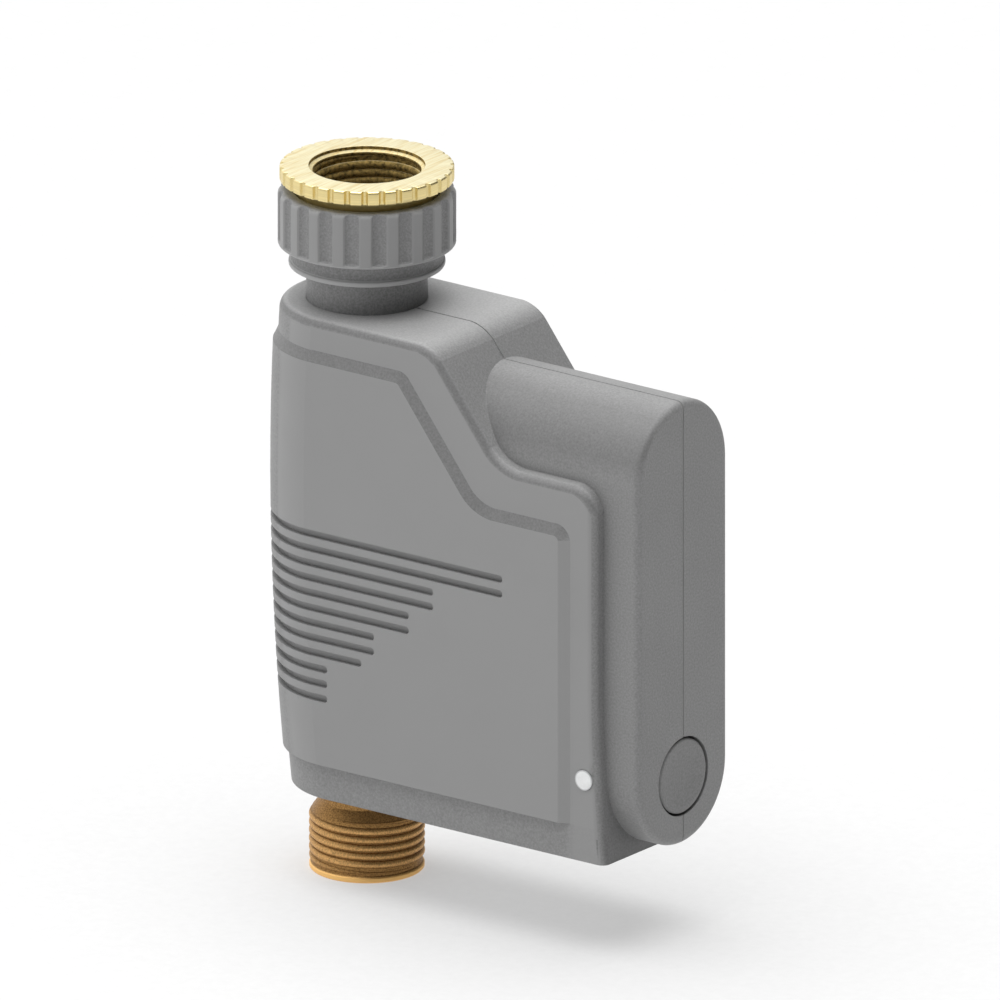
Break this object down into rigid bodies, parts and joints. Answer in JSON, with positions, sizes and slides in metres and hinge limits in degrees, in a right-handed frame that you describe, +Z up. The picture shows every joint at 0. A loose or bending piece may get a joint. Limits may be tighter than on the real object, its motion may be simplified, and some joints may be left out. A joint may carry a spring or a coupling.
{
  "type": "smart water timer",
  "caption": "Battery water timer with a brass swivel inlet for a tap, a grooved grey housing, a motor ball valve inside, a button and light at one end, and a threaded outlet below.",
  "frame": {"origin": "centre of the inlet thread's mouth, on the water way's axis", "axes": "+Z up along the water way out of the inlet, +X from the water way towards the end with the button, -Y towards the grooved front face with the light"},
  "size_m": [0.112, 0.044, 0.1681],
  "materials": {
    "shell_plastic": "fine-textured moulded grey plastic",
    "dark_plastic": "plain moulded dark grey plastic",
    "acetal": "natural off-white moulded plastic",
    "ptfe": "white low-friction plastic",
    "brass": "turned brass with fine turning lines",
    "bronze": "turned bronze-toned metal, slightly aged",
    "steel": "plain machined stainless steel",
    "rubber": "soft black rubber",
    "cell_jacket": "printed-free cell jacket",
    "board": "green solder-mask laminate",
    "clear_light": "milky clear light guide"
  },
  "bodies": {
    "housing": {"neck_washer": "rubber", "filter_screen": "steel", "inlet_neck": "dark_plastic", "neck_o_ring": "rubber", "neck_seal": "rubber", "valve_body": "acetal", "upper_seat": "ptfe", "lower_seat": "ptfe", "outlet_nipple": "bronze", "outlet_o_rings": "rubber", "idler_pins": "steel", "gearbox_base": "dark_plastic", "gearbox_cover": "dark_plastic", "gearbox_screws": "steel", "motor": "steel", "front_shell": "shell_plastic", "rear_shell": "shell_plastic", "housing_gasket": "rubber", "housing_screws": "steel", "battery_cassette": "dark_plastic", "battery_cells": "cell_jacket", "battery_contacts": "steel", "circuit_board": "board", "radio_module": "steel", "board_connectors": "ptfe", "tact_switch": "dark_plastic", "status_led": "ptfe", "board_screws": "steel", "light_pipe": "clear_light"},
    "coupling": {"inlet_adapter": "brass", "tap_washer": "rubber", "swivel_nut": "shell_plastic"},
    "valve_rotor": {"valve_ball": "steel", "valve_stem": "steel", "stem_o_rings": "rubber", "output_gear": "acetal"},
    "idler_1": {"idler_gear_1": "acetal"},
    "idler_2": {"idler_gear_2": "acetal"},
    "motor_rotor": {"motor_pinion": "brass", "motor_shaft": "steel"},
    "button": {"button_cap": "shell_plastic"},
    "door": {"battery_door": "shell_plastic", "door_gasket": "rubber", "door_screw": "steel"}
  },
  "joints": [
    {"name": "nut_swivel", "type": "hinge", "parent": "housing", "child": "coupling", "pos_m": [0, 0, 0], "axis": [0, 0, 1], "continuous": true},
    {"name": "valve_turn", "type": "hinge", "parent": "housing", "child": "valve_rotor", "pos_m": [0, 0, -0.101], "axis": [1, 0, 0], "range_deg": [0, 90]},
    {"name": "idler_1_turn", "type": "hinge", "parent": "housing", "child": "idler_1", "pos_m": [0, 0, -0.0834], "axis": [1, 0, 0], "range_deg": [-306.2, 0.2]},
    {"name": "idler_2_turn", "type": "hinge", "parent": "housing", "child": "idler_2", "pos_m": [0, 0, -0.0696], "axis": [1, 0, 0], "range_deg": [-0.2, 1101.8]},
    {"name": "motor_turn", "type": "hinge", "parent": "housing", "child": "motor_rotor", "pos_m": [0, 0, -0.0596], "axis": [1, 0, 0], "range_deg": [-3305, 0.2]},
    {"name": "button_press", "type": "slide", "parent": "housing", "child": "button", "axis": [-1, 0, 0], "range_m": [0, 0.0006], "stiffness_N_per_m": 400},
    {"name": "door_lift", "type": "slide", "parent": "housing", "child": "door", "axis": [0, 1, 0], "range_m": [0, 0.04]}
  ],
  "couplings": [
    {"joint": "idler_1_turn", "follows": "valve_turn", "ratio": -3.4},
    {"joint": "idler_2_turn", "follows": "valve_turn", "ratio": 12.24},
    {"joint": "motor_turn", "follows": "valve_turn", "ratio": -36.72}
  ]
}
